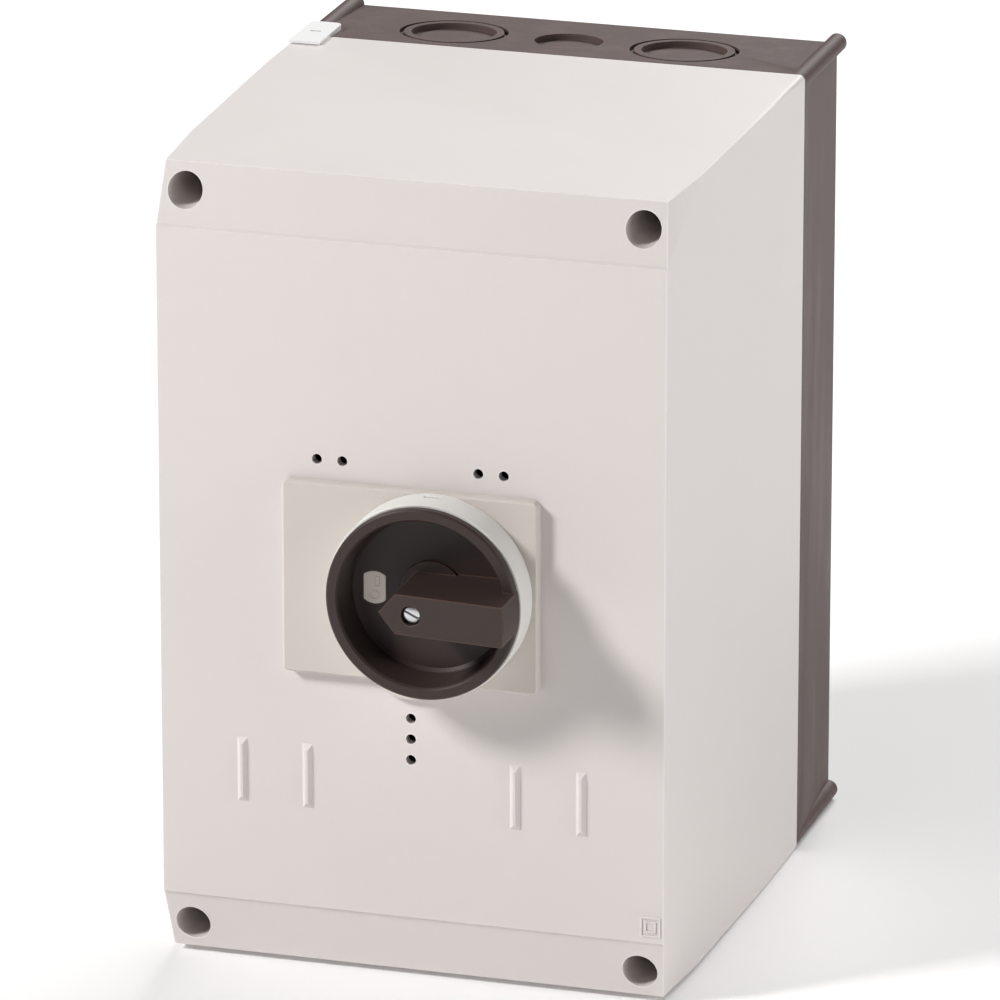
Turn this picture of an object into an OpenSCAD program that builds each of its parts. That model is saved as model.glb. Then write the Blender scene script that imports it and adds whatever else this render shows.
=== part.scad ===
// Surface-mounted rotary isolator switch in a two-part moulded enclosure.
// Frame: origin at the centre of the wall face, +X to the right, +Y into the wall, +Z up.
// Every sub-part is drawn in panel coordinates, x right, y up and z out of the wall,
// and front() stands it up in the frame.

/* [Enclosure] */
// Width of the enclosure where base and cover meet
box_w = 155; // [150:1:165]
// Height of the enclosure where base and cover meet
box_h = 240; // [234:1:256]
// Distance from the wall to the front panel
box_d = 184; // [170:1:196]
// Distance from the wall to the rim of the base
base_d = 46.9; // [44:0.1:50]
// Wall thickness of both mouldings
wall = 3; // [2.6:0.1:3.4]
// Visible gap between the rim of the base and the rim of the cover
joint_gap = 0.5; // [0.4:0.1:0.8]
// How much each side wall of the base leans in towards the wall
base_draft = 2.9; // [2:0.1:3.2]
// How much each side wall of the cover leans in towards the front
cover_draft = 2.5; // [1.5:0.1:3]

/* [Front panel] */
// Height of the flat front panel
panel_h = 200; // [190:1:204]
// How far the outer edge of each end strip lies behind the panel
strip_drop = 5.5; // [4:0.5:7]
// Raised step between the panel and each end strip
panel_step = 0.8; // [0.5:0.1:1]
// How far a corner facet runs back along the side
facet_run = 33.5; // [25:0.5:40]
// How far a corner facet cuts into the end of its strip
facet_cut = 1.4; // [0.8:0.1:2]
// Height of the four marking ribs above the panel
rib_rise = 1.2; // [0.8:0.1:1.6]

/* [Handle] */
// Sideways offset of the switch axis from the middle of the panel
axis_x = 8.4; // [0:0.1:12]
// Vertical offset of the switch axis from the middle of the panel
axis_y = 0.8; // [-4:0.1:4]
// Radius of the rim of the knob
knob_r = 28.2; // [26:0.1:30]
// Height of the knob's rim above the panel
rim_rise = 17.2; // [15:0.1:20]
// Height of the grip above the panel at the pointer end
grip_rise = 26; // [24:0.1:28]
// Extra height of the grip at its outer end
grip_slope = 3.6; // [0:0.1:5]
// Width of the grip
grip_w = 12; // [11.6:0.1:14]
// Width of the front plate
plate_w = 75.8; // [72:0.1:78]
// Height of the front plate
plate_h = 57.2; // [56:0.1:60]
// Thickness of the front plate
plate_t = 3.5; // [3.4:0.1:4]
// How far the padlock slide pulls out
slide_travel = 12; // [8:1:12]

/* [Switch] */
// Side of the switch body
body_w = 62; // [60:1:66]
// Height of one contact chamber
chamber_h = 16.8; // [16:0.1:18]
// Side of the square shaft
shaft_w = 7; // [6.6:0.1:7.2]
// Opening travel of the moving contacts
contact_travel = 3; // [2:0.5:3]

/* [Cable entries] */
// Diameter of the large knockouts
knockout_d = 32.5; // [30:0.5:33]
// Diameter of the smaller knockout inside each large one
inner_knockout_d = 25.5; // [24:0.5:26]
// Diameter of the small knockout between them
small_knockout_d = 20.5; // [18:0.5:21]

/* [Fixing] */
// Sideways spacing of the wall fixing holes
fixing_w = 100; // [90:1:110]
// Vertical spacing of the wall fixing holes
fixing_h = 196; // [190:1:200]
// Diameter of the wall fixing holes
fixing_d = 5.4; // [4.8:0.1:6]

/* [Hidden] */
$fn = 64;
eps = 0.01;
fit = 0.05;
running_fit = 0.08;
poles = 3;
cover_z = base_d + joint_gap;
strip_z = box_d - strip_drop;
end_draft = 1.8;
ear_r = 2.8;
cover_corner_r = 1.8;
panel_y = panel_h / 2;
strip_y = box_h / 2 - end_draft;
screw_x = 67.2;
screw_y = 110.3;
tunnel_r = 5.2;
tunnel_wall = 1.8;
tunnel_floor = 4;
screw_head_h = 4;
post_r = 5.5;
cover_screw_r = 2.1;
cover_screw_end = 18;
pan_post_r = 4;
fixing_pad_r = 6;
fixing_pad_h = 6;
gasket_w = 2;
gasket_in = 0.95;
gasket_h = 2.65;
knockout_x = 35.4;
knockout_z = 27;
groove_w = 1.4;
groove_depth = 1.3;
disc_depth = 1.9;
strap_w = 9.6;
strap_back = 12;
strap_front = 8;
strap_x = -67.4;
rib_x = [31, 50.6];
rib_y = [-70, -50.5];
rib_w = 3;
marking_hole_r = 1.5;
marking_holes = concat(
    [for (s = [-1, 1], x = [20.1, 27.6]) [s * x, 35.4]],
    [for (k = [0:2]) [0, -39.7 - 6.25 * k]]
);
symbol_w = 5.9;
symbol_line = 0.45;
symbol_at = [71.2, -95.2];
plate_at = [0.75, 0.8];
collar_r = 28.8;
collar_in = 27;
cup_r = 26.6;
cup_floor = 1.5;
floor_z = box_d + plate_t + 1.8;
rim_z = box_d + rim_rise;
rim_t = 2.7;
grip_z = box_d + grip_rise;
hub_r = 9.5;
pointer_x = -9.8;
pointer_back = -4.6;
bush_t = 2.3;
plate_screw_at = [32, 22];
plate_screw_r = 1.35;
coupler_w = 10;
coupler_back = 176;
coupler_top = 197;
window_at = [-17.3, -0.1];
window_w = 6.6;
window_r = 4.9;
knob_screw_r = 2.55;
knob_screw_seat = 2.6;
slide_w = 17.2;
slide_t = 2.2;
slide_y = [-33.4, -11.4];
pan_z = 8;
pan_t = 2;
pan_screw_x = 52;
pan_screw_y = 82;
pan_screw_r = 1.45;
tie_at = 26;
tie_hole_r = 2.1;
bar_at = [24, -58];
bar_w = 24;
bar_screw_r = 1.55;
carrier_z = pan_z + pan_t + 0.1;
carrier_h = 5;
pitch = chamber_h + 0.1;
chamber_z = carrier_z + carrier_h + 0.1;
latch_z = chamber_z + poles * pitch;
latch_h = 14;
lid_z = latch_z + latch_h + 0.1;
lid_h = 3;
cam_r = 11;
bridge_half = 19;
bridge_t = 1.6;
button_t = 0.6;
contact_y = cam_r + 1.8;
bridge_y = contact_y + contact_travel + button_t + fit;
terminal_x = body_w / 2 + 5.2;
shaft_r = shaft_w * 0.66;
wheel_r = 13;
terminal_screw_r = 1.85;
bridge_w = 6;
chamber_mid = 8.4;
shaft_end = 189;

// Stands panel coordinates up: z out of the wall becomes -Y, y becomes +Z.
module front() {
    rotate([90, 0, 0]) children();
}

// Moves to the switch axis.
module at_axis() {
    translate([axis_x, axis_y, 0]) children();
}

// Repeats its children at the four corners of a rectangle.
module corners(x, y) {
    for (sx = [-1, 1], sy = [-1, 1]) translate([sx * x, sy * y, 0]) children();
}

// Outline in x and z, carried the length len along y.
module across_y(points, len) {
    rotate([90, 0, 0]) linear_extrude(height = len, center = true) polygon(points);
}

// Outline in y and z, carried the length len along x.
module across_x(points, len) {
    rotate([90, 0, 90]) linear_extrude(height = len, center = true) polygon(points);
}

// Outline that is the same on both sides of the middle, from its right half.
function both_sides(half) = concat(
    half,
    [for (k = [len(half) - 1:-1:0]) [-half[k][0], half[k][1]]]
);

// Rectangle with round corners, from squares and circles so that it stays exact.
module round_rect(w, h, r) {
    square([w - 2 * r, h], center = true);
    square([w, h - 2 * r], center = true);
    corners(w / 2 - r, h / 2 - r) circle(r);
}

module round_plate(w, h, r, t) {
    linear_extrude(height = t) round_rect(w, h, r);
}

// Four-sided block that narrows evenly from z0 to z1.
module block(w0, h0, z0, w1, h1, z1) {
    intersection() {
        across_y(both_sides([[w0 / 2, z0], [w1 / 2, z1]]), h0 + h1);
        across_x(both_sides([[h0 / 2, z0], [h1 / 2, z1]]), w0 + w1);
    }
}

// Tube between two radii.
module tube(r_out, r_in, h) {
    difference() {
        cylinder(r = r_out, h = h);
        translate([0, 0, -1]) cylinder(r = r_in, h = h + 2);
    }
}

// Screw along z with its head's top at z = 0 and a straight slot across the head.
module slotted_screw(head_r, head_h, shank_r, length, slot_turn = 0) {
    difference() {
        translate([0, 0, -head_h]) cylinder(r = head_r, h = head_h);
        rotate([0, 0, slot_turn]) translate([-head_r - 1, -head_r * 0.14, -head_h * 0.45])
            cube([2 * head_r + 2, head_r * 0.28, head_h]);
    }
    translate([0, 0, -length]) cylinder(r = shank_r, h = length - head_h + eps);
}

// ---- Base ----

// Stands its children on an end wall, square to the draft, with z out of the wall.
module on_end_wall(x) {
    lean = atan(base_draft / base_d);
    at_y = box_h / 2 - base_draft * (1 - knockout_z / base_d);
    translate([x, at_y, knockout_z]) rotate([-90 - lean, 0, 0]) children();
}

// The cuts for one end wall: a ring groove round a sunk disc, twice, and a plain sunk disc.
module end_wall_knockouts() {
    for (s = [-1, 1]) on_end_wall(s * knockout_x) {
        translate([0, 0, -groove_depth])
            tube(knockout_d / 2, knockout_d / 2 - groove_w, 2 * groove_depth);
        translate([0, 0, -disc_depth]) cylinder(r = inner_knockout_d / 2, h = 2 * disc_depth);
    }
    on_end_wall(0) translate([0, 0, -disc_depth])
        cylinder(r = small_knockout_d / 2, h = 2 * disc_depth);
}

module base_outside() {
    intersection() {
        block(box_w - 2 * base_draft, box_h - 2 * base_draft, 0, box_w, box_h, base_d);
        round_plate(box_w, box_h, ear_r, base_d);
    }
    corners(box_w / 2 - ear_r, box_h / 2 - ear_r) cylinder(r = ear_r, h = base_d);
}

// Inside of the base: leaning walls, then a thicker rim that carries the gasket.
module base_hollow() {
    rim = 2 * (gasket_in + gasket_w + 2);
    intersection() {
        union() {
            block(box_w - 2 * (base_draft + wall), box_h - 2 * (base_draft + wall), 0,
                  box_w - 2 * wall - 0.7, box_h - 2 * wall - 0.7, base_d - 6);
            round_plate(box_w - rim, box_h - rim, 2, base_d + 1);
        }
        translate([0, 0, wall]) round_plate(box_w, box_h, ear_r, base_d);
    }
}

// Square-cornered ring in the rim: the groove with some clearance, or the gasket itself.
module gasket_ring(clear, h) {
    outer = 2 * (gasket_in - clear);
    inner = 2 * (gasket_in + gasket_w + clear);
    difference() {
        round_plate(box_w - outer, box_h - outer, 2, h);
        translate([0, 0, -1]) round_plate(box_w - inner, box_h - inner, 1.5, h + 2);
    }
}

module base_housing() {
    color("#706461") front() difference() {
        union() {
            difference() {
                base_outside();
                base_hollow();
            }
            corners(screw_x, screw_y) translate([0, 0, 1]) cylinder(r = post_r, h = base_d - 1);
            corners(pan_screw_x, pan_screw_y) translate([0, 0, 1])
                cylinder(r = pan_post_r, h = pan_z - 1);
            corners(fixing_w / 2, fixing_h / 2) translate([0, 0, 1])
                cylinder(r = fixing_pad_r, h = fixing_pad_h - 1);
        }
        corners(screw_x, screw_y) translate([0, 0, cover_screw_end - 6])
            cylinder(r = cover_screw_r + running_fit, h = base_d);
        corners(pan_screw_x, pan_screw_y) translate([0, 0, wall])
            cylinder(r = pan_screw_r + fit, h = pan_z);
        corners(fixing_w / 2, fixing_h / 2) translate([0, 0, -1])
            cylinder(r = fixing_d / 2, h = fixing_pad_h + 3);
        translate([0, 0, base_d - gasket_h + 0.15]) gasket_ring(0.1, gasket_h);
        end_wall_knockouts();
        mirror([0, 1, 0]) end_wall_knockouts();
        strap_plan(0.5) translate([0, 0, box_h / 2 - 0.7]) cylinder(r = 40, h = 9);
    }
}

module base_gasket() {
    color("#2a2a2a") front() translate([0, 0, base_d - gasket_h + 0.2])
        gasket_ring(0, gasket_h);
}

// Cuts its children to the strap's outline as seen from above, with some room around it.
module strap_plan(room) {
    corner_r = 2.2;
    back = base_d - strap_back - room;
    side = strap_x + room;
    intersection() {
        rotate([-90, 0, 0]) mirror([0, 1, 0]) linear_extrude(height = box_h) {
            translate([side - strap_w - 2 * room, back + corner_r])
                square([strap_w + 2 * room, base_d - back + strap_front]);
            translate([side - strap_w - 2 * room, back])
                square([strap_w + 2 * room - corner_r, corner_r + 1]);
            translate([side - corner_r, back + corner_r]) circle(r = corner_r);
        }
        rotate([-90, 0, 0]) translate([strap_x, -base_d, 0]) children();
    }
}

// White strap let into the end wall of the base, with a thin tongue over the cover's rim.
module cover_strap() {
    tongue_y = box_h / 2 + 0.06;
    color("white") front() difference() {
        strap_plan(0) translate([0, 0, box_h / 2 - 0.65]) cylinder(r = 40, h = 1.55);
        translate([-box_w / 2, tongue_y - 3, base_d]) cube([20, 3, 2 * strap_front]);
        translate([strap_x - 6.6, box_h / 2 - 0.1, base_d - 1.9]) cube([3.2, 2, 1.1]);
    }
}

// ---- Switch ----

module mounting_pan() {
    color("#b8babc") front() difference() {
        translate([0, 0, pan_z + 0.05]) round_plate(120, 180, 4, pan_t);
        corners(pan_screw_x, pan_screw_y) cylinder(r = 2.2, h = 2 * carrier_z);
        at_axis() tie_holes(2 * carrier_z);
    }
}

module pan_screws() {
    color("silver") front() corners(pan_screw_x, pan_screw_y) translate([0, 0, pan_z + pan_t + 2.6])
        slotted_screw(3.6, 2.5, pan_screw_r, 9, 30);
}

module body_block(h) {
    round_plate(body_w, body_w, 4, h);
}

module tie_holes(h) {
    corners(tie_at, tie_at) translate([0, 0, -1]) cylinder(r = tie_hole_r, h = h + 2);
}

module switch_carrier() {
    color("#3c3c3e") front() at_axis() translate([0, 0, carrier_z]) difference() {
        body_block(carrier_h);
        translate([0, 0, 1.6]) cylinder(r = shaft_r + running_fit, h = carrier_h);
        tie_holes(carrier_h);
    }
}

// One moulded chamber: a round room for the cam, one above it for the bridge, and two
// slots that let the fixed contacts out to the sides.
module contact_chamber(k) {
    cam_room = cam_r + 0.8;
    room_h = 13.4;
    color(k % 2 == 1 ? "#4a4a4c" : "#57575a") front() at_axis()
        translate([0, 0, chamber_z + (k - 1) * pitch]) difference() {
            body_block(chamber_h);
            translate([0, 0, -1]) cylinder(r = cam_room, h = chamber_h + 2);
            translate([-bridge_half - 1, 0, 1.7]) cube([2 * bridge_half + 2, 25, room_h]);
            for (s = [-1, 1]) translate([s * 24, contact_y - 0.6, chamber_mid])
                cube([20, 1.3, 6.5], center = true);
            tie_holes(chamber_h);
        }
}

// Spiral cam: full radius under the follower when off, lower by the travel when on.
function cam_outline() = [
    for (a = [0:3:357])
        let (
            past = a > 90 && a < 225 ? min(a - 90, 90, (225 - a) * 3) / 90 : 0,
            r = cam_r - contact_travel * past
        ) [r * cos(a), r * sin(a)]
];

module cam(k) {
    color("#c9b27a") front() at_axis() translate([0, 0, chamber_z + (k - 1) * pitch + 0.4])
        difference() {
            linear_extrude(height = chamber_h - 0.8) polygon(cam_outline());
            translate([0, 0, -1]) linear_extrude(height = chamber_h + 2)
                square(shaft_w + 2 * fit, center = true);
        }
}

// Moving contact of one pole, drawn open. It drops by the travel to close.
module contact_bridge(k) {
    color("#c87a4a") front() at_axis() translate([0, 0, chamber_z + (k - 1) * pitch + chamber_mid]) {
        translate([-bridge_half, bridge_y, -bridge_w / 2])
            cube([2 * bridge_half, bridge_t, bridge_w]);
        for (s = [-1, 1]) translate([s * (bridge_half - 2.2), bridge_y + eps, 0])
            rotate([90, 0, 0]) cylinder(r = 1.8, h = button_t + eps);
    }
}

module bridge_carriers() {
    foot_y = cam_r + 0.45;
    color("#e8e2d0") front() at_axis() for (k = [0:poles - 1])
        translate([0, 0, chamber_z + k * pitch + 3]) {
            translate([-1, foot_y, 0]) cube([2, bridge_y - foot_y, 10.8]);
            translate([-7, bridge_y - 1.4, 0]) cube([14, 1.4, 10.8]);
        }
}

// Leaf spring over each bridge: two flat legs meeting under the room's ceiling.
module contact_springs() {
    top_y = 24.6;
    leg_y = bridge_y + bridge_t;
    color("silver") front() at_axis() for (k = [0:poles - 1])
        translate([0, 0, chamber_z + k * pitch + 6.4]) linear_extrude(height = 4)
            polygon([[-12, leg_y], [-11, leg_y], [0, top_y - 0.8], [11, leg_y], [12, leg_y],
                     [0.6, top_y], [-0.6, top_y]]);
}

// Fixed contacts of every pole on one side: a strip from under the bridge to a terminal.
module fixed_contacts(side) {
    strip_t = 1.2;
    strip_w = 6.4;
    foot = 8;
    inner = 14;
    outer = body_w / 2 + 10;
    color("#c87a4a") front() at_axis() for (k = [0:poles - 1])
        translate([0, 0, chamber_z + k * pitch + chamber_mid - strip_w / 2]) difference() {
            union() {
                translate([side > 0 ? inner : -outer, contact_y - strip_t, 0])
                    cube([outer - inner, strip_t, strip_w]);
                translate([side > 0 ? body_w / 2 + 0.4 : -outer, contact_y - foot, 0])
                    cube([outer - body_w / 2 - 0.4, foot - strip_t + eps, strip_w]);
            }
            translate([side * terminal_x, contact_y + 1, strip_w / 2]) rotate([90, 0, 0])
                cylinder(r = terminal_screw_r + fit, h = foot + 4);
        }
}

module line_contacts() {
    fixed_contacts(-1);
}

module load_contacts() {
    fixed_contacts(1);
}

module terminal_screws() {
    color("silver") front() at_axis() for (k = [0:poles - 1], s = [-1, 1])
        translate([s * terminal_x, contact_y + 2.6, chamber_z + k * pitch + chamber_mid])
            rotate([-90, 0, 0]) slotted_screw(3.8, 2.6, terminal_screw_r, 9, 20 * k);
}

module latch_housing() {
    color("#3c3c3e") front() at_axis() translate([0, 0, latch_z]) difference() {
        body_block(latch_h);
        translate([0, 0, 1.5]) cylinder(r = 17.5, h = latch_h);
        translate([0, 0, -1]) cylinder(r = 6.4, h = latch_h);
        for (s = [-1, 1]) translate([s * 17, 0, latch_h / 2 + 1.5])
            cube([8, 30, latch_h], center = true);
        tie_holes(latch_h);
    }
}

// Detent wheel with four notches, one for each quarter turn.
module latch_wheel() {
    color("#e8e2d0") front() at_axis() translate([0, 0, latch_z + 2]) difference() {
        cylinder(r = wheel_r, h = latch_h - 4);
        for (a = [0:90:270]) rotate([0, 0, a]) translate([wheel_r + 1.2, 0, -1])
            cylinder(r = 3, h = latch_h);
        translate([0, 0, -1]) linear_extrude(height = latch_h)
            square(shaft_w + 2 * fit, center = true);
    }
}

// Two leaf springs, each with a rounded nose that stands just clear of the wheel.
module latch_springs() {
    nose_r = 1.6;
    nose_x = wheel_r + 0.3 + nose_r;
    color("silver") front() at_axis() for (s = [-1, 1]) translate([0, 0, latch_z + 3]) {
        translate([s * (nose_x + nose_r + 0.3) - 0.4, -14, 0]) cube([0.8, 28, 8]);
        translate([s * nose_x, 0, 0]) cylinder(r = nose_r, h = 8);
    }
}

module latch_lid() {
    color("#4a4a4c") front() at_axis() translate([0, 0, lid_z]) difference() {
        body_block(lid_h);
        translate([0, 0, -1]) cylinder(r = shaft_r + running_fit, h = lid_h + 2);
        tie_holes(lid_h);
    }
}

module tie_bolts() {
    top = lid_z + lid_h + 2.9;
    color("silver") front() at_axis() corners(tie_at, tie_at) translate([0, 0, top])
        slotted_screw(3.5, 2.8, 1.95, top - pan_z + 0.2, 45);
}

// Square shaft whose rounded corners run in the carrier and the lid.
module switch_shaft() {
    start = carrier_z + 1.7;
    color("#c8cacc") front() at_axis() translate([0, 0, start]) intersection() {
        linear_extrude(height = shaft_end - start) square(shaft_w, center = true);
        cylinder(r = shaft_r, h = shaft_end - start);
    }
}

// Two-way terminal bar that sits on the pan below the switch.
module terminal_bar(x) {
    bar_h = 9;
    bar_t = 8;
    translate([x, bar_at[1], carrier_z]) difference() {
        translate([-bar_w / 2, -bar_h / 2, 0]) cube([bar_w, bar_h, bar_t]);
        for (s = [-1, 1]) translate([s * bar_w / 4, 0, bar_t / 2 + 0.4])
            cylinder(r = bar_screw_r + fit, h = bar_t);
    }
}

module neutral_terminal() {
    color("#3f6fb0") front() terminal_bar(-bar_at[0]);
}

module earth_terminal() {
    color("#9aa83a") front() terminal_bar(bar_at[0]);
}

module terminal_bar_screws() {
    color("silver") front() for (side = [-1, 1], s = [-1, 1])
        translate([side * bar_at[0] + s * bar_w / 4, bar_at[1], pan_z + pan_t + 10.6])
            slotted_screw(3, 2.4, bar_screw_r, 6, 60);
}

// ---- Cover ----

function cross3(a, b) = [
    a[1] * b[2] - a[2] * b[1], a[2] * b[0] - a[0] * b[2], a[0] * b[1] - a[1] * b[0]
];
facet_p1 = [box_w / 2 - cover_draft, panel_y, box_d];
facet_p2 = [box_w / 2 - cover_draft - facet_cut, strip_y, strip_z];
facet_share = (box_d - facet_run - cover_z) / (box_d - cover_z);
facet_p3 = [box_w / 2 - cover_draft * facet_share, box_h / 2 - end_draft * facet_share,
            box_d - facet_run];
facet_out = cross3(facet_p3 - facet_p1, facet_p2 - facet_p1);
facet_n = facet_out / norm(facet_out);

// Outline of the cover seen from its end, in by inset from the outside surface.
module side_profile(inset, z0) {
    across_y(both_sides([[box_w / 2 - inset, z0], [facet_p1[0] - inset, box_d - inset]]),
             box_h + 20);
}

// Takes one front corner off along the plane through the facet's three points.
module corner_facet(sx, sy) {
    mirror([sx > 0 ? 0 : 1, 0, 0]) mirror([0, sy > 0 ? 0 : 1, 0])
        translate(facet_p1) rotate([0, acos(facet_n[2]), atan2(facet_n[1], facet_n[0])])
            translate([-60, -60, 0]) cube([120, 120, 20]);
}

module cover_outside() {
    difference() {
        intersection() {
            side_profile(0, cover_z);
            across_x(both_sides([[box_h / 2, cover_z], [strip_y, strip_z],
                                 [panel_y + panel_step, box_d - panel_step],
                                 [panel_y, box_d]]), box_w + 20);
            translate([0, 0, cover_z]) round_plate(box_w, box_h, cover_corner_r, box_d);
        }
        for (sx = [-1, 1], sy = [-1, 1]) corner_facet(sx, sy);
    }
}

module cover_hollow() {
    intersection() {
        side_profile(wall, cover_z - 1);
        across_x(both_sides([[box_h / 2 - wall, cover_z - 1], [strip_y - wall, strip_z - wall],
                             [panel_y - 0.5, box_d - wall]]), box_w);
    }
}

// Low ridge with three sloping sides and pitched ends, as a moulded marking rib.
module marking_rib(x) {
    mid = (rib_y[0] + rib_y[1]) / 2;
    length = rib_y[1] - rib_y[0];
    translate([x, mid, box_d - eps]) intersection() {
        across_y(both_sides([[rib_w / 2, 0], [0.35, rib_rise]]), length);
        across_x(both_sides([[length / 2, 0], [length / 2 - 1.6, rib_rise]]), rib_w);
    }
}

module square_outline(w) {
    translate([0, 0, -eps]) linear_extrude(height = 0.3) difference() {
        square(w, center = true);
        square(w - 2 * symbol_line, center = true);
    }
}

module cover() {
    color("#ded6d4") front() difference() {
        union() {
            difference() {
                cover_outside();
                cover_hollow();
            }
            intersection() {
                cover_outside();
                corners(screw_x, screw_y) translate([0, 0, cover_z])
                    cylinder(r = tunnel_r + tunnel_wall, h = box_d);
            }
            for (x = rib_x, s = [-1, 1]) marking_rib(s * x);
            translate([symbol_at[0], symbol_at[1], box_d]) {
                square_outline(symbol_w);
                square_outline(symbol_w * 0.56);
            }
        }
        corners(screw_x, screw_y) translate([0, 0, cover_z + tunnel_floor])
            cylinder(r = tunnel_r, h = box_d);
        corners(screw_x, screw_y) cylinder(r = cover_screw_r + 0.3, h = box_d);
        for (p = marking_holes) translate([p[0], p[1], box_d - 2 * wall])
            cylinder(r = marking_hole_r, h = 3 * wall);
        corners_of_plate() translate([0, 0, box_d - 2 * wall])
            cylinder(r = plate_screw_r + 0.35, h = 3 * wall);
        at_axis() translate([0, 0, box_d - 2 * wall]) cylinder(r = hub_r + bush_t, h = 3 * wall);
    }
}

module cover_screws() {
    top = cover_z + tunnel_floor + screw_head_h + 0.1;
    color("#b9bbbd") front() corners(screw_x, screw_y) translate([0, 0, top])
        slotted_screw(4.4, screw_head_h, cover_screw_r, top - cover_screw_end, 15);
}

// Flanged plain bearing that guides the hub of the knob.
module shaft_bush() {
    inside = hub_r + running_fit;
    body = hub_r + bush_t - fit;
    flange = body + 2;
    back = box_d - wall - 1.5;
    color("#2e2c2b") front() at_axis() rotate_extrude() polygon([
        [inside, back], [flange, back], [flange, box_d - wall - fit], [body, box_d - wall - fit],
        [body, box_d + 2], [inside, box_d + 2]
    ]);
}

// ---- Handle ----

// Bevelled plate under the handle, with a channel in its back for the padlock slide.
module front_plate() {
    bevel = 0.6;
    color("#d0c8c1") front() difference() {
        translate([plate_at[0], plate_at[1], box_d]) intersection() {
            round_plate(plate_w, plate_h, 2.2, plate_t);
            union() {
                round_plate(plate_w, plate_h, 1, plate_t - bevel);
                translate([0, 0, plate_t - bevel])
                    block(plate_w, plate_h, 0, plate_w - 2 * bevel, plate_h - 2 * bevel, bevel);
            }
        }
        at_axis() translate([0, 0, box_d - 1]) cylinder(r = hub_r + bush_t + 0.2, h = 10);
        translate([plate_at[0] - slide_w / 2 - 0.15, slide_y[0] - 5, box_d - 1])
            cube([slide_w + 0.3, slide_y[1] - slide_y[0] + 5.3, slide_t + 1.3]);
        corners_of_plate() cylinder(r = plate_screw_r + fit, h = box_d + plate_t - 0.8);
    }
}

module corners_of_plate() {
    translate([plate_at[0], plate_at[1], 0])
        corners(plate_screw_at[0], plate_screw_at[1]) children();
}

module plate_screws() {
    color("silver") front() corners_of_plate() translate([0, 0, box_d - wall - 2.2])
        mirror([0, 0, 1]) slotted_screw(2.6, 2.1, plate_screw_r, 7.6, 10);
}

// Ring that the knob's cup turns in, with a short slot at the top.
module locking_collar() {
    color("#d8d4cf") front() at_axis() translate([0, 0, box_d + plate_t]) difference() {
        tube(collar_r, collar_in, rim_z - rim_t - 0.3 - box_d - plate_t);
        translate([-2.3, collar_r - 1, 2.4]) cube([4.6, 3, 1.1]);
    }
}

// Flat tongue in a channel behind the front plate, with a hole for a padlock.
module padlock_slide() {
    tongue_r = 15;
    color("#cfc9c2") front() translate([plate_at[0], 0, box_d + 0.15]) difference() {
        intersection() {
            translate([-slide_w / 2, slide_y[0], 0])
                cube([slide_w, slide_y[1] - slide_y[0], slide_t]);
            translate([0, slide_y[0] + tongue_r, 0]) cylinder(r = tongue_r, h = slide_t);
        }
        translate([0, slide_y[0] + 11.5, -1]) cylinder(r = 3.2, h = slide_t + 2);
    }
}

// Grip outline in plan: a chevron pointer at the left and the knob's rim at the right.
module grip_plan() {
    half = grip_w / 2;
    intersection() {
        polygon([[pointer_x, 0], [pointer_back, half], [knob_r, half], [knob_r, -half],
                 [pointer_back, -half]]);
        circle(r = knob_r);
    }
}

module knob() {
    side_run = grip_slope / (knob_r - pointer_x);
    color("#3c302d") front() at_axis() difference() {
        union() {
            rotate_extrude() polygon([
                [hub_r - 1, floor_z - cup_floor], [cup_r, floor_z - cup_floor],
                [cup_r, rim_z - rim_t], [knob_r, rim_z - rim_t], [knob_r, rim_z - 0.5],
                [knob_r - 0.5, rim_z], [25.2, rim_z], [24.6, rim_z - 0.7],
                [23.6, floor_z + 1], [22.6, floor_z], [hub_r - 1, floor_z]
            ]);
            translate([0, 0, coupler_back]) cylinder(r = hub_r, h = floor_z - coupler_back);
            translate([0, 0, floor_z - eps]) cylinder(r = hub_r, h = 1.2);
            intersection() {
                translate([0, 0, floor_z - 1]) linear_extrude(height = 60) grip_plan();
                across_y([[pointer_x, floor_z - 1], [knob_r, floor_z - 1],
                          [knob_r, grip_z + side_run * (knob_r - pointer_x)],
                          [pointer_x, grip_z]],
                         4 * knob_r);
            }
        }
        translate([0, 0, coupler_back - 1]) linear_extrude(height = coupler_top - coupler_back + 1)
            square(coupler_w + 2 * fit, center = true);
        cylinder(r = 1.6, h = 2 * box_d);
        translate([0, 0, grip_z - knob_screw_seat]) cylinder(r = knob_screw_r + 0.35, h = 10);
        translate([0, 0, floor_z - cup_floor - 1]) linear_extrude(height = cup_floor + 2)
            window_outline(0);
    }
}

// Window in the cup's floor: straight sides, round top and bottom.
module window_outline(inset) {
    translate([window_at[0], window_at[1]]) intersection() {
        square([window_w - 2 * inset, 4 * window_r], center = true);
        circle(r = window_r - inset);
    }
}

module position_window() {
    mark_depth = 0.2;
    color("#e6e0d4") front() at_axis() difference() {
        translate([0, 0, floor_z - cup_floor + 0.1]) linear_extrude(height = cup_floor)
            window_outline(fit);
        translate([window_at[0], window_at[1], floor_z + 0.1 - mark_depth]) {
            translate([0.9, 2, 0]) linear_extrude(height = 1) difference() {
                square([1.7, 3], center = true);
                square([1, 2.3], center = true);
            }
            translate([0.2, -2, 0]) tube(1.4, 1.05, 1);
        }
    }
}

module knob_screw() {
    head_h = 2.3;
    top = grip_z - knob_screw_seat + head_h;
    color("#c8cacc") front() at_axis() translate([0, 0, top])
        slotted_screw(knob_screw_r, head_h, 1.45, top - coupler_top + 4.5, -25);
}

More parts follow.
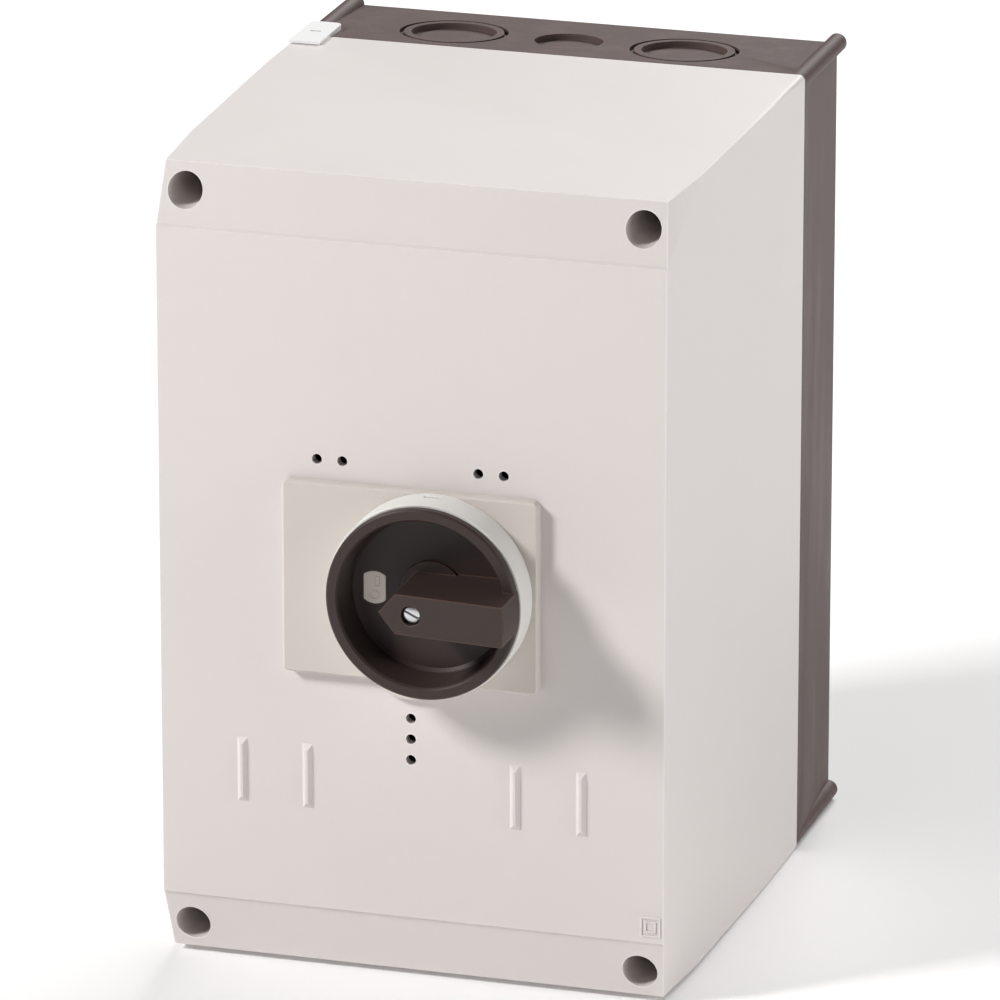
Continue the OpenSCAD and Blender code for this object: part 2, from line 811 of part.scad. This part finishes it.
// Square sleeve in the hub: the switch shaft slides into it from behind.
module shaft_coupler() {
    color("#8c8e90") front() at_axis() difference() {
        translate([0, 0, coupler_back]) linear_extrude(height = coupler_top - coupler_back)
            square(coupler_w, center = true);
        translate([0, 0, coupler_back - 1]) linear_extrude(height = shaft_end + 1.6 - coupler_back)
            square(shaft_w + 2 * fit, center = true);
        translate([0, 0, shaft_end]) cylinder(r = 1.5, h = 20);
    }
}

base_housing();
base_gasket();
mounting_pan();
pan_screws();
switch_carrier();
contact_chamber(1);  // contact_chamber_1
contact_chamber(2);  // contact_chamber_2
contact_chamber(3);  // contact_chamber_3
cam(1);  // cam_1
cam(2);  // cam_2
cam(3);  // cam_3
contact_bridge(1);  // contact_bridge_1
contact_bridge(2);  // contact_bridge_2
contact_bridge(3);  // contact_bridge_3
bridge_carriers();
contact_springs();
line_contacts();
load_contacts();
terminal_screws();
latch_housing();
latch_wheel();
latch_springs();
latch_lid();
tie_bolts();
switch_shaft();
neutral_terminal();
earth_terminal();
terminal_bar_screws();
cover();
cover_screws();
cover_strap();
shaft_bush();
front_plate();
plate_screws();
locking_collar();
padlock_slide();
knob();
position_window();
knob_screw();
shaft_coupler();
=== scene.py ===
# Rotary isolator switch in a two-part moulded enclosure, finished piece by piece around its
# CAD frame.
import math

import bmesh
import bpy
from mathutils import Matrix, Vector


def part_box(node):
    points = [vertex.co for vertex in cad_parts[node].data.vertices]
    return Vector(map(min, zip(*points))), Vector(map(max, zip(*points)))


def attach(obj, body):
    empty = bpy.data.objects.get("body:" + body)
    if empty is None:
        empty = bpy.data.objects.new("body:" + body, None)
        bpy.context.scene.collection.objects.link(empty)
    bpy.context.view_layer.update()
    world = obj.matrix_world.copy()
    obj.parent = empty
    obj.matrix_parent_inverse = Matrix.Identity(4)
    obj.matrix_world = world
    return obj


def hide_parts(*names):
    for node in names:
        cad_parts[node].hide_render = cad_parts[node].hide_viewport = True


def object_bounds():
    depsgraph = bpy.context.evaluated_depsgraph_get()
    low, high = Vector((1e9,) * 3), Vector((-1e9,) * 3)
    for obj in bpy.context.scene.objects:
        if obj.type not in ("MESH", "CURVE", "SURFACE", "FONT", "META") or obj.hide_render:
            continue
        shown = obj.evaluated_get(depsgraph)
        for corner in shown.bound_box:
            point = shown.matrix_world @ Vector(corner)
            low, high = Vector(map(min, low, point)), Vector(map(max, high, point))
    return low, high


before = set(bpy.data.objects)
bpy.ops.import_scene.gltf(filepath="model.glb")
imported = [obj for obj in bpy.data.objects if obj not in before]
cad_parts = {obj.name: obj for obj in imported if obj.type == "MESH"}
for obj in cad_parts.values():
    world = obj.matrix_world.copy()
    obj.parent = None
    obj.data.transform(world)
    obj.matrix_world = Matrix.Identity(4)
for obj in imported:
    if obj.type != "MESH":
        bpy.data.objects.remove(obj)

cad_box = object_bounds()
mm = 0.001

# ---- Studio ----
# A camera with a long lens, above and to the right of the switch. A pale floor, a soft key
# light from the upper left, one from the right side, and a wide one from behind for the floor.

azimuth, elevation = math.radians(16.921), math.radians(18.259)
towards_camera = Vector((
    math.sin(azimuth) * math.cos(elevation),
    -math.cos(azimuth) * math.cos(elevation),
    math.sin(elevation),
))
camera = bpy.data.objects.new("camera", bpy.data.cameras.new("camera"))
camera.data.sensor_width = 36
camera.data.lens = 326.3
camera.data.clip_start = 0.1
camera.location = (0.73132, -2.50072, 0.82729)
camera.rotation_mode = "QUATERNION"
camera.rotation_quaternion = (-towards_camera).to_track_quat("-Z", "Y")
bpy.context.scene.collection.objects.link(camera)
bpy.context.scene.camera = camera

world = bpy.data.worlds.new("studio")
world.use_nodes = True
room = world.node_tree.nodes["Background"]
room.inputs["Color"].default_value = (1, 0.985, 0.98, 1)
room.inputs["Strength"].default_value = 0.04
bpy.context.scene.world = world
bpy.context.scene.view_settings.view_transform = "Standard"


def softbox(name, place, width, power):
    """A square area light of width metres at place, aimed at the middle of the switch."""
    middle = Vector((0, -0.09, 0))
    light = bpy.data.lights.new(name, "AREA")
    light.shape = "SQUARE"
    light.size = width
    light.energy = power
    lamp = bpy.data.objects.new(name, light)
    lamp.location = place
    lamp.rotation_euler = (middle - lamp.location).to_track_quat("-Z", "Y").to_euler()
    bpy.context.scene.collection.objects.link(lamp)


softbox("key", place=(-1.63, -1.45, 1.5), width=0.55, power=60)
softbox("side", place=(2.5, -0.5, 0.5), width=1.2, power=20)
softbox("behind", place=(0.4, 2.4, 2.2), width=2.0, power=97)


class Socket:
    """An output socket of a material, on which Python's operators add Math nodes."""

    def __init__(self, finish, output):
        self.finish = finish
        self.output = output

    def maths(self, operation, *values):
        return self.finish.node("Math", {"operation": operation}, dict(enumerate(values)))

    def __add__(self, other):
        return self.maths("ADD", self, other)

    def __sub__(self, other):
        return self.maths("SUBTRACT", self, other)

    def __rsub__(self, other):
        return self.maths("SUBTRACT", other, self)

    def __mul__(self, other):
        return self.maths("MULTIPLY", self, other)

    __radd__ = __add__
    __rmul__ = __mul__

    def between(self, low, high):
        """0 where the value is low or less, 1 where it is high or more, and smooth between."""
        return self.finish.node(
            "MapRange",
            {"interpolation_type": "SMOOTHSTEP"},
            {"Value": self, "From Min": low, "From Max": high},
        )


class Finish:
    """A material while it is being made."""

    def __init__(self, name):
        self.material = bpy.data.materials.new(name)
        self.material.use_nodes = True
        self.tree = self.material.node_tree
        self.tree.nodes.clear()
        self.place = self.node("TexCoord", out="Object")

    def node(self, kind, settings=(), sockets=(), out=0):
        """Adds a shader node, sets it up, fills or links its inputs and gives one output."""
        made = self.tree.nodes.new("ShaderNode" + kind)
        for name, value in dict(settings).items():
            setattr(made, name, value)
        for name, value in dict(sockets).items():
            if isinstance(value, Socket):
                self.tree.links.new(value.output, made.inputs[name])
            else:
                made.inputs[name].default_value = value
        return Socket(self, made.outputs[out])

    def noise(self, size, detail=2.0, rough=0.5, stretch=(1, 1, 1)):
        """Noise with patches about size metres across, longer along the axes with low stretch."""
        spot = self.node("VectorMath", {"operation": "MULTIPLY"}, {0: self.place, 1: stretch})
        sockets = {"Vector": spot, "Scale": 1 / size, "Detail": detail, "Roughness": rough}
        return self.node("TexNoise", {}, sockets)

    def mix(self, share, first, second):
        """Colour that goes from first to second as share goes from 0 to 1."""
        return self.node(
            "Mix", {"data_type": "RGBA"}, {"Factor": share, 6: first, 7: second}, out=2
        )

    def bump(self, height, depth):
        """Relief of depth metres from a height between 0 and 1."""
        return self.node("Bump", {}, {"Height": height, "Distance": depth, "Strength": 1.0})

    def edges(self, radius):
        """1 along the sharp outer edges, within about radius of them, and 0 elsewhere."""
        soft = self.node("Bevel", {"samples": 6}, {"Radius": radius})
        true = self.node("NewGeometry", out="Normal")
        agree = self.node(
            "VectorMath", {"operation": "DOT_PRODUCT"}, {0: soft, 1: true}, out="Value"
        )
        return (1 - agree).between(0.01, 0.18)

    def crevice_shade(self, reach):
        """Painted-shade mask: 1 in grooves and inner corners within about reach, 0 in the open."""
        sky = self.node("AmbientOcclusion", {"samples": 6, "only_local": True},
                        {"Distance": reach}, out="AO")
        return (1 - sky).between(0.3, 0.95)

    def surface(self, **inputs):
        """Ends the material in one Principled shader. Underscores stand for spaces."""
        sockets = {name.replace("_", " "): value for name, value in inputs.items()}
        shader = self.node("BsdfPrincipled", {}, sockets)
        end = self.tree.nodes.new("ShaderNodeOutputMaterial")
        self.tree.links.new(shader.output, end.inputs["Surface"])
        return self.material


def painted_floor():
    """Matt white paint with a faint roller texture. The little glow keeps it clear of grey."""
    finish = Finish("floor_paint")
    patches = finish.noise(0.5)
    return finish.surface(
        Base_Color=finish.mix(patches, (0.90, 0.895, 0.89, 1), (0.93, 0.925, 0.92, 1)),
        Roughness=0.75 + patches * 0.1,
        Normal=finish.bump(finish.noise(2 * mm), 0.02 * mm),
        Emission_Color=(1, 1, 1, 1),
        Emission_Strength=0.10,
    )


floor_mesh = bmesh.new()
bmesh.ops.create_grid(floor_mesh, x_segments=1, y_segments=1, size=6)
floor = bpy.data.objects.new("floor", bpy.data.meshes.new("floor"))
floor_mesh.to_mesh(floor.data)
floor_mesh.free()
floor.location.z = cad_box[0].z - 0.2 * mm
floor.data.materials.append(painted_floor())
bpy.context.scene.collection.objects.link(floor)

# ---- Base housing ----
# The dark half against the wall: one moulding of glass-filled thermoplastic, matt and
# finely textured by the tool, with break-out cable entries in its end walls.


def moulded(name, colour, shade, roughness, grain, relief, edge_highlight_colour=None, edge_highlight_share=0.5,
            gloss=0.5, flow=0.0, painted_shade=0.75, reach=4 * mm):
    """Injection-moulded plastic: a fine eroded grain, cloudy colour, gloss that wanders a little,
    edges lightened by handling wear and a painted highlight, and painted shade darkening the
    colour within reach of the corners. flow is how strongly mould-filling streaks show."""
    finish = Finish(name)
    clouds = finish.noise(35 * mm, 3)
    speckle = finish.noise(grain, 3, 0.6)
    streaks = finish.noise(14 * mm, 5, 0.65, (1, 1, 0.22)).between(0.42, 0.68)
    rubbed = finish.noise(9 * mm, 4, 0.7).between(0.45, 0.75)
    tone = finish.mix(clouds * 0.7 + speckle * 0.3, shade, colour)
    pale = tuple(min(1, 1.35 * part) for part in colour[:3]) + (1,)
    tone = finish.mix(streaks * flow, tone, pale)
    # The edge mask lightens the colour along edges: partly handling wear, partly a painted
    # highlight.
    wear_and_highlight = finish.edges(0.8 * mm) * (0.6 + rubbed * 0.4)
    tone = finish.mix(wear_and_highlight * edge_highlight_share, tone, edge_highlight_colour or colour)
    # Painted shade: an ambient-occlusion mask darkens the colour in grooves and inner corners.
    corners = finish.crevice_shade(reach)
    dark = tuple(0.4 * part for part in shade[:3]) + (1,)
    return finish.surface(
        Base_Color=finish.mix(corners * painted_shade, tone, dark),
        Roughness=roughness + clouds * 0.05 + speckle * 0.06 - wear_and_highlight * 0.12 - streaks * flow * 0.1,
        Normal=finish.bump(speckle, relief),
        Specular_IOR_Level=gloss,
    )


def dress(node, material, edge=0.0, angle=28):
    """Gives a CAD node its material and rounds its sharp edges by edge metres."""
    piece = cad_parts[node]
    piece.data.materials.clear()
    piece.data.materials.append(material)
    if "custom_normal" in piece.data.attributes:
        piece.data.attributes.remove(piece.data.attributes["custom_normal"])
    piece.data.shade_smooth()
    weld = piece.modifiers.new("weld", "WELD")
    weld.merge_threshold = 0.002 * mm
    flat = piece.modifiers.new("flat", "DECIMATE")
    flat.decimate_type = "DISSOLVE"
    flat.angle_limit = math.radians(0.4)
    bevel = piece.modifiers.new("edges", "BEVEL")
    bevel.width = max(edge, 0.02 * mm)
    bevel.segments = 3
    bevel.limit_method = "ANGLE"
    bevel.angle_limit = math.radians(angle)
    bevel.harden_normals = True
    bevel.miter_outer = "MITER_ARC"
    return piece


# Its lighter edge colour is partly edge wear, partly a painted highlight.
base_plastic = moulded(
    "base_plastic", colour=(0.113, 0.077, 0.072, 1), shade=(0.085, 0.058, 0.053, 1),
    roughness=0.50, grain=0.5 * mm, relief=0.035 * mm,
    edge_highlight_colour=(0.24, 0.18, 0.17, 1), edge_highlight_share=0.6, gloss=0.25, flow=0.45,
)
dress("base_housing", base_plastic, 0.35 * mm)

# ---- Rim gasket ----
# Foamed rubber cord pressed into the groove of the base's rim.

rubber = moulded(
    "gasket_rubber", colour=(0.020, 0.020, 0.021, 1), shade=(0.012, 0.012, 0.012, 1),
    roughness=0.72, grain=0.35 * mm, relief=0.06 * mm,
)
dress("base_gasket", rubber, 0.5 * mm)

# ---- Mounting pan ----
# Zinc-plated steel sheet on four bosses, held by four slotted screws.


def plated(name, colour, shade, roughness, brushed):
    """Zinc-plated or bright steel: a metal whose gloss breaks up in spangles or fine brushing."""
    finish = Finish(name)
    spangle = finish.noise(4 * mm, 2)
    grain = finish.noise(0.35 * mm, 2, 0.5, brushed)
    smear = finish.noise(14 * mm, 3)
    return finish.surface(
        Base_Color=finish.mix(spangle * 0.6 + smear * 0.4, shade, colour),
        Metallic=1.0,
        Roughness=roughness + spangle * 0.10 + smear * 0.08,
        Normal=finish.bump(grain, 0.008 * mm),
    )


zinc = plated(
    "zinc_plate", colour=(0.66, 0.67, 0.69, 1), shade=(0.46, 0.47, 0.50, 1),
    roughness=0.26, brushed=(1, 1, 1),
)
dress("mounting_pan", zinc, 0.2 * mm)


def screw(head, height, shank, length, pitch):
    """Mesh of a slotted screw along Z, the top of its head at 0. head and shank are radii, and
    height is the head's. The blank is turned, then slotted, then given a rolled thread."""
    sides = 40
    slot_width, slot_depth = 0.28 * head, 0.45 * height
    core = 0.8 * shank
    neck = -height - pitch
    core_top = neck - 0.3 * pitch
    core_end = 0.5 * shank - length

    turned_outline = [
        (0.86 * head, 0), (0.96 * head, -0.05 * height), (head, -0.16 * height),
        (head, 0.08 * head - height), (0.93 * head, -height), (shank, -height), (shank, neck),
        (core, core_top), (core, core_end), (0.5 * core, -length),
    ]
    blank = bmesh.new()
    loops = []
    for radius, z in turned_outline:
        loop = []
        for k in range(sides):
            angle = math.tau * k / sides
            loop.append(blank.verts.new((radius * math.cos(angle), radius * math.sin(angle), z)))
        loops.append(loop)
    for upper, lower in zip(loops, loops[1:]):
        for k in range(sides):
            blank.faces.new((upper[k - 1], lower[k - 1], lower[k], upper[k]))
    blank.faces.new(loops[0])
    blank.faces.new(loops[-1][::-1])
    body = bpy.data.objects.new("blank", bpy.data.meshes.new("blank"))
    blank.to_mesh(body.data)
    blank.free()

    tool = bmesh.new()
    bmesh.ops.create_cube(tool, size=1)
    bmesh.ops.scale(tool, vec=(3 * head, slot_width, 2 * slot_depth), verts=tool.verts)
    cutter = bpy.data.objects.new("cutter", bpy.data.meshes.new("cutter"))
    tool.to_mesh(cutter.data)
    tool.free()
    for piece in (body, cutter):
        bpy.context.scene.collection.objects.link(piece)
    slot = body.modifiers.new("slot", "BOOLEAN")
    slot.object, slot.operation, slot.solver = cutter, "DIFFERENCE", "EXACT"
    bpy.context.view_layer.update()
    slotted = bpy.data.meshes.new_from_object(
        body.evaluated_get(bpy.context.evaluated_depsgraph_get())
    )
    for piece in (body, cutter):
        bpy.data.objects.remove(piece)

    root = 0.98 * core
    thread_profile = ((root, 0), (shank, 0.4), (shank, 0.5), (root, 0.9))
    turns = (core_top - (core_end + pitch)) / pitch
    whole = bmesh.new()
    whole.from_mesh(slotted)
    last = None
    for k in range(max(2, int(turns * sides))):
        angle, z = math.tau * k / sides, core_top - pitch * k / sides
        row = [
            whole.verts.new((radius * math.cos(angle), radius * math.sin(angle), z - drop * pitch))
            for radius, drop in thread_profile
        ]
        if last:
            for a in range(3):
                whole.faces.new((last[a], last[a + 1], row[a + 1], row[a]))
        else:
            whole.faces.new(row)
        last = row
    whole.faces.new(last[::-1])
    bmesh.ops.recalc_face_normals(whole, faces=whole.faces)
    whole.to_mesh(slotted)
    whole.free()
    slotted.shade_smooth()
    slotted.set_sharp_from_angle(angle=math.radians(35))
    return slotted


def fasten(node, body, kind, spots, facing=90, turns=(15, 70, -35, 100), material=zinc):
    """Puts one screw of a kind at each spot, as one piece that stands for a CAD node. facing is
    the heads' tilt about X from +Z, and turns are the angles at which the slots came to rest."""
    group = bmesh.new()
    for k, spot in enumerate(spots):
        copy = kind.copy()
        copy.transform(
            Matrix.Translation(spot) @ Matrix.Rotation(math.radians(facing), 4, "X")
            @ Matrix.Rotation(math.radians(turns[k % len(turns)]), 4, "Z")
        )
        group.from_mesh(copy)
        bpy.data.meshes.remove(copy)
    piece = bpy.data.objects.new(node + "_cut", bpy.data.meshes.new(node + "_cut"))
    group.to_mesh(piece.data)
    group.free()
    piece.data.shade_smooth()
    piece.data.set_sharp_from_angle(angle=math.radians(35))
    piece.data.materials.append(material)
    bpy.context.scene.collection.objects.link(piece)
    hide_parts(node)
    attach(piece, body)


def four_corners(node, radius, head_at_front=True):
    """The four screw axes of a node, from its box, at the height of the heads."""
    low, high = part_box(node)
    y = low[1] if head_at_front else high[1]
    return [(x, y, z) for x in (low[0] + radius, high[0] - radius)
            for z in (low[2] + radius, high[2] - radius)]


pan_head = 3.6 * mm
pan_screw = screw(pan_head, height=2.5 * mm, shank=1.45 * mm, length=9 * mm, pitch=0.7 * mm)
fasten("pan_screws", "base", pan_screw, four_corners("pan_screws", pan_head))

# ---- Switch block ----
# Black thermoset carrier, contact chambers, latch housing and lid, stacked on the pan and
# drawn together by four long bolts.

# Its lighter edge colour is partly edge wear, partly a painted highlight.
thermoset = moulded(
    "chamber_thermoset", colour=(0.050, 0.050, 0.053, 1), shade=(0.032, 0.032, 0.034, 1),
    roughness=0.42, grain=0.7 * mm, relief=0.03 * mm,
    edge_highlight_colour=(0.11, 0.11, 0.11, 1), edge_highlight_share=0.6,
)
for node in ("switch_carrier", "contact_chamber_1", "contact_chamber_2", "contact_chamber_3",
             "latch_housing", "latch_lid"):
    dress(node, thermoset, 0.3 * mm)
low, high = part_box("tie_bolts")
tie_head = 3.5 * mm
tie_bolt = screw(
    tie_head, height=2.8 * mm, shank=1.95 * mm, length=high[1] - low[1], pitch=0.7 * mm
)
fasten("tie_bolts", "base", tie_bolt, four_corners("tie_bolts", tie_head))

# ---- Shaft and cams ----
# Square zinc-plated shaft with three acetal cams and the latch wheel on it.

acetal = moulded(
    "natural_acetal", colour=(0.74, 0.69, 0.57, 1), shade=(0.66, 0.60, 0.48, 1),
    roughness=0.32, grain=0.6 * mm, relief=0.012 * mm,
)
dress("switch_shaft", zinc, 0.15 * mm)
for node in ("cam_1", "cam_2", "cam_3", "latch_wheel", "bridge_carriers"):
    dress(node, acetal, 0.2 * mm)

# ---- Contacts ----
# Brushed copper bridges and fixed contacts, punched from strip, with bright steel springs
# and zinc-plated terminal screws.

bright = plated(
    "bright_steel", colour=(0.78, 0.78, 0.79, 1), shade=(0.60, 0.60, 0.62, 1),
    roughness=0.16, brushed=(0.15, 1, 1),
)
copper = plated(
    "contact_copper", colour=(0.86, 0.47, 0.30, 1), shade=(0.62, 0.30, 0.18, 1),
    roughness=0.26, brushed=(0.1, 1, 1),
)
for node in ("contact_bridge_1", "contact_bridge_2", "contact_bridge_3", "line_contacts",
             "load_contacts"):
    dress(node, copper, 0.15 * mm)
for node in ("contact_springs", "latch_springs"):
    dress(node, bright, 0.1 * mm)
low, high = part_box("terminal_screws")
clamp_head = 3.8 * mm
clamp_screw = screw(clamp_head, height=2.6 * mm, shank=1.85 * mm, length=9 * mm, pitch=0.8 * mm)
clamp_spots = [
    (x, y, high[2])
    for x in (low[0] + clamp_head, high[0] - clamp_head)
    for y in (low[1] + clamp_head, (low[1] + high[1]) / 2, high[1] - clamp_head)
]
fasten("terminal_screws", "base", clamp_screw, clamp_spots, facing=0)

# ---- Neutral and earth terminals ----
# Lacquered brass bars with two clamp screws each.


def lacquered(name, colour, shade):
    """Coloured lacquer over brass, thick and glossy, and thin at the edges."""
    finish = Finish(name)
    flow = finish.noise(3 * mm, 2)
    chipped = finish.edges(0.4 * mm) * finish.noise(1.5 * mm, 3).between(0.5, 0.6)
    return finish.surface(
        Base_Color=finish.mix(chipped, finish.mix(flow, shade, colour), (0.70, 0.52, 0.22, 1)),
        Metallic=chipped,
        Roughness=0.24 + flow * 0.1,
        Normal=finish.bump(flow, 0.03 * mm),
    )


blue = lacquered("neutral_blue", colour=(0.05, 0.16, 0.45, 1), shade=(0.03, 0.11, 0.36, 1))
green = lacquered("earth_green", colour=(0.30, 0.45, 0.05, 1), shade=(0.22, 0.36, 0.04, 1))
dress("neutral_terminal", blue, 0.3 * mm)
dress("earth_terminal", green, 0.3 * mm)
low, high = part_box("terminal_bar_screws")
bar_head, bar_pitch = 3 * mm, 12 * mm
bar_screw = screw(bar_head, height=2.4 * mm, shank=1.55 * mm, length=6 * mm, pitch=0.6 * mm)
first, last = low[0] + bar_head, high[0] - bar_head
bar_spots = [
    (x, low[1], (low[2] + high[2]) / 2) for x in (first, first + bar_pitch, last - bar_pitch, last)
]
fasten("terminal_bar_screws", "base", bar_screw, bar_spots)

# ---- Cover ----
# The light grey half: one deep moulding with a satin texture, four screw tunnels, seven
# small holes and four ribs on its front.

# Its near-white edge colour paints highlight lines along the moulding's edges, over slight wear.
cover_plastic = moulded(
    "cover_plastic", colour=(0.738, 0.688, 0.670, 1), shade=(0.708, 0.660, 0.642, 1),
    roughness=0.38, grain=0.6 * mm, relief=0.030 * mm,
    edge_highlight_colour=(0.98, 0.95, 0.94, 1), edge_highlight_share=0.85,
)
dress("cover", cover_plastic, 0.5 * mm)
low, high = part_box("cover_screws")
cover_head = 4.4 * mm
cover_screw = screw(
    cover_head, height=4 * mm, shank=2.1 * mm, length=high[1] - low[1], pitch=1.1 * mm
)
fasten("cover_screws", "lid", cover_screw, four_corners("cover_screws", cover_head))

# ---- Strap ----
# White moulded strap let into the end wall, its tongue over the cover's rim.

white_plastic = moulded(
    "strap_plastic", colour=(0.90, 0.895, 0.89, 1), shade=(0.86, 0.855, 0.85, 1),
    roughness=0.34, grain=0.6 * mm, relief=0.01 * mm,
)
strap = dress("cover_strap", white_plastic, 0.3 * mm)
# Its slot is so narrow that joining flat faces would turn it into a notch.
strap.modifiers.remove(strap.modifiers["flat"])

# ---- Front plate, collar and padlock slide ----
# A bevelled plate under the handle, the ring that the handle turns in, and the flat tongue
# that takes a padlock. All three are light grey, a little warmer than the cover.

# The lighter edge colours of plate and collar are partly edge wear, partly a painted highlight.
plate_plastic = moulded(
    "plate_plastic", colour=(0.640, 0.590, 0.545, 1), shade=(0.610, 0.560, 0.515, 1),
    roughness=0.36, grain=0.6 * mm, relief=0.012 * mm, edge_highlight_colour=(0.80, 0.77, 0.74, 1),
)
collar_plastic = moulded(
    "collar_plastic", colour=(0.80, 0.785, 0.755, 1), shade=(0.77, 0.755, 0.725, 1),
    roughness=0.34, grain=0.6 * mm, relief=0.010 * mm, edge_highlight_colour=(0.88, 0.87, 0.85, 1),
)
dress("front_plate", plate_plastic, 0.3 * mm)
plate_head = 2.6 * mm
plate_screw = screw(plate_head, height=2.1 * mm, shank=1.35 * mm, length=7.6 * mm, pitch=0.6 * mm)
plate_spots = four_corners("plate_screws", plate_head, head_at_front=False)
fasten("plate_screws", "lid", plate_screw, plate_spots, facing=-90)
dress("locking_collar", collar_plastic, 0.4 * mm)
dress("padlock_slide", plate_plastic, 0.3 * mm)

# ---- Handle ----
# Dark brown-black cup with a pointed grip across it, moulded in one, a window that shows
# the position, and one slotted screw into the coupler on the shaft.

# Its reddish edge colour paints highlights on the rim and grip edges; its painted shade is kept
# light.
knob_plastic = moulded(
    "knob_plastic", colour=(0.050, 0.034, 0.030, 1), shade=(0.040, 0.027, 0.024, 1),
    roughness=0.38, grain=0.9 * mm, relief=0.010 * mm,
    edge_highlight_colour=(0.200, 0.080, 0.050, 1), edge_highlight_share=0.8, gloss=0.3, painted_shade=0.2,
)
# The window gets strong painted shade within 0.6 mm of its recesses.
window_plastic = moulded(
    "window_plastic", colour=(0.95, 0.86, 0.79, 1), shade=(0.90, 0.81, 0.74, 1),
    roughness=0.36, grain=0.6 * mm, relief=0.01 * mm, painted_shade=0.9, reach=0.6 * mm,
)
dress("knob", knob_plastic, 0.35 * mm)
dress("position_window", window_plastic, 0.05 * mm)
low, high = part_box("knob_screw")
grip_screw = screw(
    2.55 * mm, height=2.3 * mm, shank=1.45 * mm, length=high[1] - low[1], pitch=0.6 * mm
)
grip_spot = ((low[0] + high[0]) / 2, low[1], (low[2] + high[2]) / 2)
fasten("knob_screw", "handle", grip_screw, [grip_spot], turns=(-25,), material=bright)
dress("shaft_coupler", zinc, 0.2 * mm)
dress("shaft_bush", knob_plastic, 0.2 * mm)
